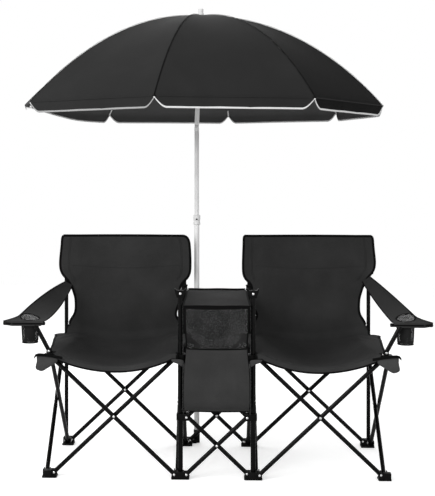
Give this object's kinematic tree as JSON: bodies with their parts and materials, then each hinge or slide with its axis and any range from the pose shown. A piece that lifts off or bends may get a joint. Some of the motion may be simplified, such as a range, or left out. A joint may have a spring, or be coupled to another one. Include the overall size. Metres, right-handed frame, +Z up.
{
  "type": "double folding camp chair with umbrella",
  "caption": "Two cloth camp chairs joined by a table and storage bag, on one folding steel frame with a sun umbrella.",
  "frame": {"origin": "the ground point under the umbrella's pole, on the foot that holds it", "axes": "+Z up, +X to the picture's right along the width, +Y to the rear"},
  "size_m": [1.6271, 1.498, 1.8263],
  "materials": {
    "steel_black": "black powder coat, satin",
    "plastic_black": "moulded, slightly grained",
    "cloth_black": "coated woven polyester, matt",
    "canopy_black": "coated woven polyester, matt",
    "steel_pale": "pale grey paint, satin",
    "plastic_pale": "pale grey moulding"
  },
  "bodies": {
    "left_rear_inner_post": {"left_rear_inner_post": "steel_black", "left_sling": "cloth_black", "table_top": "cloth_black"},
    "left_rear_brace_from_inner": {"left_rear_brace_from_inner": "steel_black"},
    "left_rear_brace_from_outer": {"left_rear_brace_from_outer": "steel_black"},
    "left_rear_outer_post": {"left_rear_outer_post": "steel_black", "left_armrest": "cloth_black"},
    "left_rear_outer_hub": {"left_rear_outer_hub": "plastic_black"},
    "left_rear_inner_hub": {"left_rear_inner_hub": "plastic_black"},
    "left_outer_side_brace_from_rear": {"left_outer_side_brace_from_rear": "steel_black"},
    "left_outer_side_brace_from_front": {"left_outer_side_brace_from_front": "steel_black"},
    "left_front_outer_foot": {"left_front_outer_foot": "plastic_black"},
    "left_front_outer_hub": {"left_front_outer_hub": "plastic_black"},
    "left_inner_side_brace_from_rear": {"left_inner_side_brace_from_rear": "steel_black"},
    "left_inner_side_brace_from_front": {"left_inner_side_brace_from_front": "steel_black"},
    "left_front_inner_post": {"left_front_inner_post": "steel_black", "storage_bag": "cloth_black"},
    "left_front_inner_hub": {"left_front_inner_hub": "plastic_black"},
    "left_arm_support": {"left_arm_support": "steel_black"},
    "left_front_brace_from_inner": {"left_front_brace_from_inner": "steel_black"},
    "left_front_brace_from_outer": {"left_front_brace_from_outer": "steel_black"},
    "centre_rear_lower_brace_from_left": {"centre_rear_lower_brace_from_left": "steel_black"},
    "centre_rear_lower_brace_from_right": {"centre_rear_lower_brace_from_right": "steel_black"},
    "right_rear_inner_post": {"right_rear_inner_post": "steel_black", "right_sling": "cloth_black"},
    "right_rear_brace_from_inner": {"right_rear_brace_from_inner": "steel_black"},
    "right_rear_brace_from_outer": {"right_rear_brace_from_outer": "steel_black"},
    "right_rear_outer_post": {"right_rear_outer_post": "steel_black", "right_armrest": "cloth_black"},
    "right_rear_outer_hub": {"right_rear_outer_hub": "plastic_black"},
    "right_rear_inner_hub": {"right_rear_inner_hub": "plastic_black"},
    "right_outer_side_brace_from_rear": {"right_outer_side_brace_from_rear": "steel_black"},
    "right_outer_side_brace_from_front": {"right_outer_side_brace_from_front": "steel_black"},
    "right_front_outer_foot": {"right_front_outer_foot": "plastic_black"},
    "right_front_outer_hub": {"right_front_outer_hub": "plastic_black"},
    "right_inner_side_brace_from_rear": {"right_inner_side_brace_from_rear": "steel_black"},
    "right_inner_side_brace_from_front": {"right_inner_side_brace_from_front": "steel_black"},
    "right_front_inner_post": {"right_front_inner_post": "steel_black"},
    "right_front_inner_hub": {"right_front_inner_hub": "plastic_black"},
    "right_arm_support": {"right_arm_support": "steel_black"},
    "right_front_brace_from_inner": {"right_front_brace_from_inner": "steel_black"},
    "right_front_brace_from_outer": {"right_front_brace_from_outer": "steel_black"},
    "centre_rear_hub_left": {"centre_rear_hub_left": "plastic_black"},
    "centre_rear_hub_right": {"centre_rear_hub_right": "plastic_black"},
    "centre_rear_upper_brace_from_left": {"centre_rear_upper_brace_from_left": "steel_black"},
    "centre_rear_upper_brace_from_right": {"centre_rear_upper_brace_from_right": "steel_black"},
    "centre_front_lower_brace_from_left": {"centre_front_lower_brace_from_left": "steel_black"},
    "centre_front_lower_brace_from_right": {"centre_front_lower_brace_from_right": "steel_black"},
    "centre_front_hub_left": {"centre_front_hub_left": "plastic_black"},
    "centre_front_hub_right": {"centre_front_hub_right": "plastic_black"},
    "centre_front_upper_brace_from_left": {"centre_front_upper_brace_from_left": "steel_black"},
    "centre_front_upper_brace_from_right": {"centre_front_upper_brace_from_right": "steel_black"},
    "umbrella_pole_lower": {"umbrella_pole_lower": "steel_pale", "umbrella_lock_collar": "plastic_pale"},
    "umbrella_lock_button": {"umbrella_lock_button": "plastic_pale"},
    "umbrella_pole_upper": {"umbrella_pole_upper": "steel_pale"},
    "umbrella_top": {"umbrella_ribs": "steel_pale", "umbrella_runner": "plastic_pale", "umbrella_canopy": "canopy_black", "umbrella_finial": "plastic_pale"}
  },
  "joints": [
    {"name": "fold", "type": "hinge", "parent": "left_rear_inner_post", "child": "left_rear_brace_from_inner", "pos_m": [-0.074, -0.0447, 0.018], "axis": [0, 1, 0], "range_deg": [0, 34.5], "deforming": ["left_sling", "right_sling", "left_armrest", "right_armrest", "table_top", "storage_bag"]},
    {"name": "left_rear_brace_from_outer_hinge", "type": "hinge", "parent": "left_rear_brace_from_inner", "child": "left_rear_brace_from_outer", "pos_m": [-0.2985, -0.0447, 0.23], "axis": [0, 1, 0], "range_deg": [-69, 0]},
    {"name": "left_rear_outer_post_hinge", "type": "hinge", "parent": "left_rear_brace_from_outer", "child": "left_rear_outer_post", "pos_m": [-0.523, -0.0283, 0.018], "axis": [0, 1, 0], "range_deg": [0, 34.5]},
    {"name": "left_rear_outer_hub_hinge", "type": "hinge", "parent": "left_rear_brace_from_inner", "child": "left_rear_outer_hub", "pos_m": [-0.523, -0.0447, 0.442], "axis": [0, 1, 0], "range_deg": [-34.5, 0]},
    {"name": "left_rear_inner_hub_hinge", "type": "hinge", "parent": "left_rear_brace_from_outer", "child": "left_rear_inner_hub", "pos_m": [-0.074, -0.0283, 0.442], "axis": [0, 1, 0], "range_deg": [0, 34.5]},
    {"name": "left_outer_side_brace_from_rear_hinge", "type": "hinge", "parent": "left_rear_outer_post", "child": "left_outer_side_brace_from_rear", "pos_m": [-0.536, -0.0605, 0.018], "axis": [1, 0, 0], "range_deg": [-34.5, 0]},
    {"name": "left_outer_side_brace_from_front_hinge", "type": "hinge", "parent": "left_outer_side_brace_from_rear", "child": "left_outer_side_brace_from_front", "pos_m": [-0.536, -0.285, 0.23], "axis": [1, 0, 0], "range_deg": [0, 69]},
    {"name": "left_front_outer_foot_hinge", "type": "hinge", "parent": "left_outer_side_brace_from_front", "child": "left_front_outer_foot", "pos_m": [-0.5524, -0.5095, 0.018], "axis": [1, 0, 0], "range_deg": [-34.5, 0]},
    {"name": "left_front_outer_hub_hinge", "type": "hinge", "parent": "left_outer_side_brace_from_rear", "child": "left_front_outer_hub", "pos_m": [-0.536, -0.5095, 0.442], "axis": [1, 0, 0], "range_deg": [0, 34.5]},
    {"name": "left_inner_side_brace_from_rear_hinge", "type": "hinge", "parent": "left_rear_inner_post", "child": "left_inner_side_brace_from_rear", "pos_m": [-0.0464, -0.0605, 0.018], "axis": [1, 0, 0], "range_deg": [-34.5, 0]},
    {"name": "left_inner_side_brace_from_front_hinge", "type": "hinge", "parent": "left_inner_side_brace_from_rear", "child": "left_inner_side_brace_from_front", "pos_m": [-0.0464, -0.285, 0.23], "axis": [1, 0, 0], "range_deg": [0, 69]},
    {"name": "left_front_inner_post_hinge", "type": "hinge", "parent": "left_inner_side_brace_from_front", "child": "left_front_inner_post", "pos_m": [-0.0628, -0.5095, 0.018], "axis": [1, 0, 0], "range_deg": [-34.5, 0]},
    {"name": "left_front_inner_hub_hinge", "type": "hinge", "parent": "left_inner_side_brace_from_rear", "child": "left_front_inner_hub", "pos_m": [-0.0464, -0.5095, 0.442], "axis": [1, 0, 0], "range_deg": [0, 34.5]},
    {"name": "left_arm_support_hinge", "type": "hinge", "parent": "left_front_outer_hub", "child": "left_arm_support", "pos_m": [-0.541, -0.535, 0.471], "axis": [0, 1, 0], "range_deg": [0, 25.53]},
    {"name": "left_front_brace_from_inner_hinge", "type": "hinge", "parent": "left_front_inner_post", "child": "left_front_brace_from_inner", "pos_m": [-0.074, -0.5417, 0.018], "axis": [0, 1, 0], "range_deg": [0, 34.5]},
    {"name": "left_front_brace_from_outer_hinge", "type": "hinge", "parent": "left_front_brace_from_inner", "child": "left_front_brace_from_outer", "pos_m": [-0.2985, -0.5417, 0.23], "axis": [0, 1, 0], "range_deg": [-69, 0]},
    {"name": "centre_rear_lower_brace_from_left_hinge", "type": "hinge", "parent": "left_rear_inner_post", "child": "centre_rear_lower_brace_from_left", "pos_m": [-0.02825, -0.0283, 0.018], "axis": [0, 1, 0], "range_deg": [-34.5, 0]},
    {"name": "centre_rear_lower_brace_from_right_hinge", "type": "hinge", "parent": "centre_rear_lower_brace_from_left", "child": "centre_rear_lower_brace_from_right", "pos_m": [0.084, -0.0283, 0.124], "axis": [0, 1, 0], "range_deg": [0, 69]},
    {"name": "right_rear_inner_post_hinge", "type": "hinge", "parent": "centre_rear_lower_brace_from_right", "child": "right_rear_inner_post", "pos_m": [0.19625, -0.0447, 0.018], "axis": [0, 1, 0], "range_deg": [-34.5, 0]},
    {"name": "right_rear_brace_from_inner_hinge", "type": "hinge", "parent": "right_rear_inner_post", "child": "right_rear_brace_from_inner", "pos_m": [0.242, -0.0447, 0.018], "axis": [0, 1, 0], "range_deg": [-34.5, 0]},
    {"name": "right_rear_brace_from_outer_hinge", "type": "hinge", "parent": "right_rear_brace_from_inner", "child": "right_rear_brace_from_outer", "pos_m": [0.4665, -0.0447, 0.23], "axis": [0, 1, 0], "range_deg": [0, 69]},
    {"name": "right_rear_outer_post_hinge", "type": "hinge", "parent": "right_rear_brace_from_outer", "child": "right_rear_outer_post", "pos_m": [0.691, -0.0283, 0.018], "axis": [0, 1, 0], "range_deg": [-34.5, 0]},
    {"name": "right_rear_outer_hub_hinge", "type": "hinge", "parent": "right_rear_brace_from_inner", "child": "right_rear_outer_hub", "pos_m": [0.691, -0.0447, 0.442], "axis": [0, 1, 0], "range_deg": [0, 34.5]},
    {"name": "right_rear_inner_hub_hinge", "type": "hinge", "parent": "right_rear_brace_from_outer", "child": "right_rear_inner_hub", "pos_m": [0.242, -0.0283, 0.442], "axis": [0, 1, 0], "range_deg": [-34.5, 0]},
    {"name": "right_outer_side_brace_from_rear_hinge", "type": "hinge", "parent": "right_rear_outer_post", "child": "right_outer_side_brace_from_rear", "pos_m": [0.7204, -0.0605, 0.018], "axis": [1, 0, 0], "range_deg": [-34.5, 0]},
    {"name": "right_outer_side_brace_from_front_hinge", "type": "hinge", "parent": "right_outer_side_brace_from_rear", "child": "right_outer_side_brace_from_front", "pos_m": [0.7204, -0.285, 0.23], "axis": [1, 0, 0], "range_deg": [0, 69]},
    {"name": "right_front_outer_foot_hinge", "type": "hinge", "parent": "right_outer_side_brace_from_front", "child": "right_front_outer_foot", "pos_m": [0.704, -0.5095, 0.018], "axis": [1, 0, 0], "range_deg": [-34.5, 0]},
    {"name": "right_front_outer_hub_hinge", "type": "hinge", "parent": "right_outer_side_brace_from_rear", "child": "right_front_outer_hub", "pos_m": [0.7204, -0.5095, 0.442], "axis": [1, 0, 0], "range_deg": [0, 34.5]},
    {"name": "right_inner_side_brace_from_rear_hinge", "type": "hinge", "parent": "right_rear_inner_post", "child": "right_inner_side_brace_from_rear", "pos_m": [0.2144, -0.0605, 0.018], "axis": [1, 0, 0], "range_deg": [-34.5, 0]},
    {"name": "right_inner_side_brace_from_front_hinge", "type": "hinge", "parent": "right_inner_side_brace_from_rear", "child": "right_inner_side_brace_from_front", "pos_m": [0.2144, -0.285, 0.23], "axis": [1, 0, 0], "range_deg": [0, 69]},
    {"name": "right_front_inner_post_hinge", "type": "hinge", "parent": "right_inner_side_brace_from_front", "child": "right_front_inner_post", "pos_m": [0.2308, -0.5095, 0.018], "axis": [1, 0, 0], "range_deg": [-34.5, 0]},
    {"name": "right_front_inner_hub_hinge", "type": "hinge", "parent": "right_inner_side_brace_from_rear", "child": "right_front_inner_hub", "pos_m": [0.2144, -0.5095, 0.442], "axis": [1, 0, 0], "range_deg": [0, 34.5]},
    {"name": "right_arm_support_hinge", "type": "hinge", "parent": "right_front_outer_hub", "child": "right_arm_support", "pos_m": [0.709, -0.535, 0.471], "axis": [0, 1, 0], "range_deg": [-25.53, 0]},
    {"name": "right_front_brace_from_inner_hinge", "type": "hinge", "parent": "right_front_inner_post", "child": "right_front_brace_from_inner", "pos_m": [0.242, -0.5417, 0.018], "axis": [0, 1, 0], "range_deg": [-34.5, 0]},
    {"name": "right_front_brace_from_outer_hinge", "type": "hinge", "parent": "right_front_brace_from_inner", "child": "right_front_brace_from_outer", "pos_m": [0.4665, -0.5417, 0.23], "axis": [0, 1, 0], "range_deg": [0, 69]},
    {"name": "centre_rear_hub_left_hinge", "type": "hinge", "parent": "centre_rear_lower_brace_from_right", "child": "centre_rear_hub_left", "pos_m": [-0.02825, -0.0447, 0.23], "axis": [0, 1, 0], "range_deg": [-34.5, 0]},
    {"name": "centre_rear_hub_right_hinge", "type": "hinge", "parent": "centre_rear_lower_brace_from_left", "child": "centre_rear_hub_right", "pos_m": [0.19625, -0.0283, 0.23], "axis": [0, 1, 0], "range_deg": [0, 34.5]},
    {"name": "centre_rear_upper_brace_from_left_hinge", "type": "hinge", "parent": "centre_rear_hub_left", "child": "centre_rear_upper_brace_from_left", "pos_m": [-0.02825, -0.0283, 0.23], "axis": [0, 1, 0], "range_deg": [-34.5, 0]},
    {"name": "centre_rear_upper_brace_from_right_hinge", "type": "hinge", "parent": "centre_rear_upper_brace_from_left", "child": "centre_rear_upper_brace_from_right", "pos_m": [0.084, -0.0283, 0.336], "axis": [0, 1, 0], "range_deg": [0, 69]},
    {"name": "centre_front_lower_brace_from_left_hinge", "type": "hinge", "parent": "left_front_inner_post", "child": "centre_front_lower_brace_from_left", "pos_m": [-0.02825, -0.5417, 0.018], "axis": [0, 1, 0], "range_deg": [-34.5, 0]},
    {"name": "centre_front_lower_brace_from_right_hinge", "type": "hinge", "parent": "centre_front_lower_brace_from_left", "child": "centre_front_lower_brace_from_right", "pos_m": [0.084, -0.5417, 0.124], "axis": [0, 1, 0], "range_deg": [0, 69]},
    {"name": "centre_front_hub_left_hinge", "type": "hinge", "parent": "centre_front_lower_brace_from_right", "child": "centre_front_hub_left", "pos_m": [-0.02825, -0.5253, 0.23], "axis": [0, 1, 0], "range_deg": [-34.5, 0]},
    {"name": "centre_front_hub_right_hinge", "type": "hinge", "parent": "centre_front_lower_brace_from_left", "child": "centre_front_hub_right", "pos_m": [0.19625, -0.5417, 0.23], "axis": [0, 1, 0], "range_deg": [0, 34.5]},
    {"name": "centre_front_upper_brace_from_left_hinge", "type": "hinge", "parent": "centre_front_hub_left", "child": "centre_front_upper_brace_from_left", "pos_m": [-0.02825, -0.5417, 0.23], "axis": [0, 1, 0], "range_deg": [-34.5, 0]},
    {"name": "centre_front_upper_brace_from_right_hinge", "type": "hinge", "parent": "centre_front_upper_brace_from_left", "child": "centre_front_upper_brace_from_right", "pos_m": [0.084, -0.5417, 0.336], "axis": [0, 1, 0], "range_deg": [0, 69]},
    {"name": "umbrella_lift_out", "type": "slide", "parent": "left_rear_inner_post", "child": "umbrella_pole_lower", "axis": [0, 0, 1], "range_m": [0, 0.05]},
    {"name": "umbrella_lock_press", "type": "slide", "parent": "umbrella_pole_lower", "child": "umbrella_lock_button", "axis": [0, 1, 0], "range_m": [0, 0.0015], "stiffness_N_per_m": 1500},
    {"name": "umbrella_height", "type": "slide", "parent": "umbrella_pole_lower", "child": "umbrella_pole_upper", "axis": [0, 0, -1], "range_m": [0, 0.3]},
    {"name": "umbrella_tilt", "type": "hinge", "parent": "umbrella_pole_upper", "child": "umbrella_top", "pos_m": [0, 0, 1.325], "axis": [0, 1, 0], "range_deg": [0, 35]}
  ],
  "couplings": [
    {"joint": "left_rear_brace_from_outer_hinge", "follows": "fold", "ratio": -2},
    {"joint": "left_rear_outer_post_hinge", "follows": "fold", "ratio": 1},
    {"joint": "left_rear_outer_hub_hinge", "follows": "fold", "ratio": -1},
    {"joint": "left_rear_inner_hub_hinge", "follows": "fold", "ratio": 1},
    {"joint": "left_outer_side_brace_from_rear_hinge", "follows": "fold", "ratio": -1},
    {"joint": "left_outer_side_brace_from_front_hinge", "follows": "fold", "ratio": 2},
    {"joint": "left_front_outer_foot_hinge", "follows": "fold", "ratio": -1},
    {"joint": "left_front_outer_hub_hinge", "follows": "fold", "ratio": 1},
    {"joint": "left_inner_side_brace_from_rear_hinge", "follows": "fold", "ratio": -1},
    {"joint": "left_inner_side_brace_from_front_hinge", "follows": "fold", "ratio": 2},
    {"joint": "left_front_inner_post_hinge", "follows": "fold", "ratio": -1},
    {"joint": "left_front_inner_hub_hinge", "follows": "fold", "ratio": 1},
    {"joint": "left_arm_support_hinge", "follows": "fold", "ratio": 0.74},
    {"joint": "left_front_brace_from_inner_hinge", "follows": "fold", "ratio": 1},
    {"joint": "left_front_brace_from_outer_hinge", "follows": "fold", "ratio": -2},
    {"joint": "centre_rear_lower_brace_from_left_hinge", "follows": "fold", "ratio": -1},
    {"joint": "centre_rear_lower_brace_from_right_hinge", "follows": "fold", "ratio": 2},
    {"joint": "right_rear_inner_post_hinge", "follows": "fold", "ratio": -1},
    {"joint": "right_rear_brace_from_inner_hinge", "follows": "fold", "ratio": -1},
    {"joint": "right_rear_brace_from_outer_hinge", "follows": "fold", "ratio": 2},
    {"joint": "right_rear_outer_post_hinge", "follows": "fold", "ratio": -1},
    {"joint": "right_rear_outer_hub_hinge", "follows": "fold", "ratio": 1},
    {"joint": "right_rear_inner_hub_hinge", "follows": "fold", "ratio": -1},
    {"joint": "right_outer_side_brace_from_rear_hinge", "follows": "fold", "ratio": -1},
    {"joint": "right_outer_side_brace_from_front_hinge", "follows": "fold", "ratio": 2},
    {"joint": "right_front_outer_foot_hinge", "follows": "fold", "ratio": -1},
    {"joint": "right_front_outer_hub_hinge", "follows": "fold", "ratio": 1},
    {"joint": "right_inner_side_brace_from_rear_hinge", "follows": "fold", "ratio": -1},
    {"joint": "right_inner_side_brace_from_front_hinge", "follows": "fold", "ratio": 2},
    {"joint": "right_front_inner_post_hinge", "follows": "fold", "ratio": -1},
    {"joint": "right_front_inner_hub_hinge", "follows": "fold", "ratio": 1},
    {"joint": "right_arm_support_hinge", "follows": "fold", "ratio": -0.74},
    {"joint": "right_front_brace_from_inner_hinge", "follows": "fold", "ratio": -1},
    {"joint": "right_front_brace_from_outer_hinge", "follows": "fold", "ratio": 2},
    {"joint": "centre_rear_hub_left_hinge", "follows": "fold", "ratio": -1},
    {"joint": "centre_rear_hub_right_hinge", "follows": "fold", "ratio": 1},
    {"joint": "centre_rear_upper_brace_from_left_hinge", "follows": "fold", "ratio": -1},
    {"joint": "centre_rear_upper_brace_from_right_hinge", "follows": "fold", "ratio": 2},
    {"joint": "centre_front_lower_brace_from_left_hinge", "follows": "fold", "ratio": -1},
    {"joint": "centre_front_lower_brace_from_right_hinge", "follows": "fold", "ratio": 2},
    {"joint": "centre_front_hub_left_hinge", "follows": "fold", "ratio": -1},
    {"joint": "centre_front_hub_right_hinge", "follows": "fold", "ratio": 1},
    {"joint": "centre_front_upper_brace_from_left_hinge", "follows": "fold", "ratio": -1},
    {"joint": "centre_front_upper_brace_from_right_hinge", "follows": "fold", "ratio": 2}
  ]
}
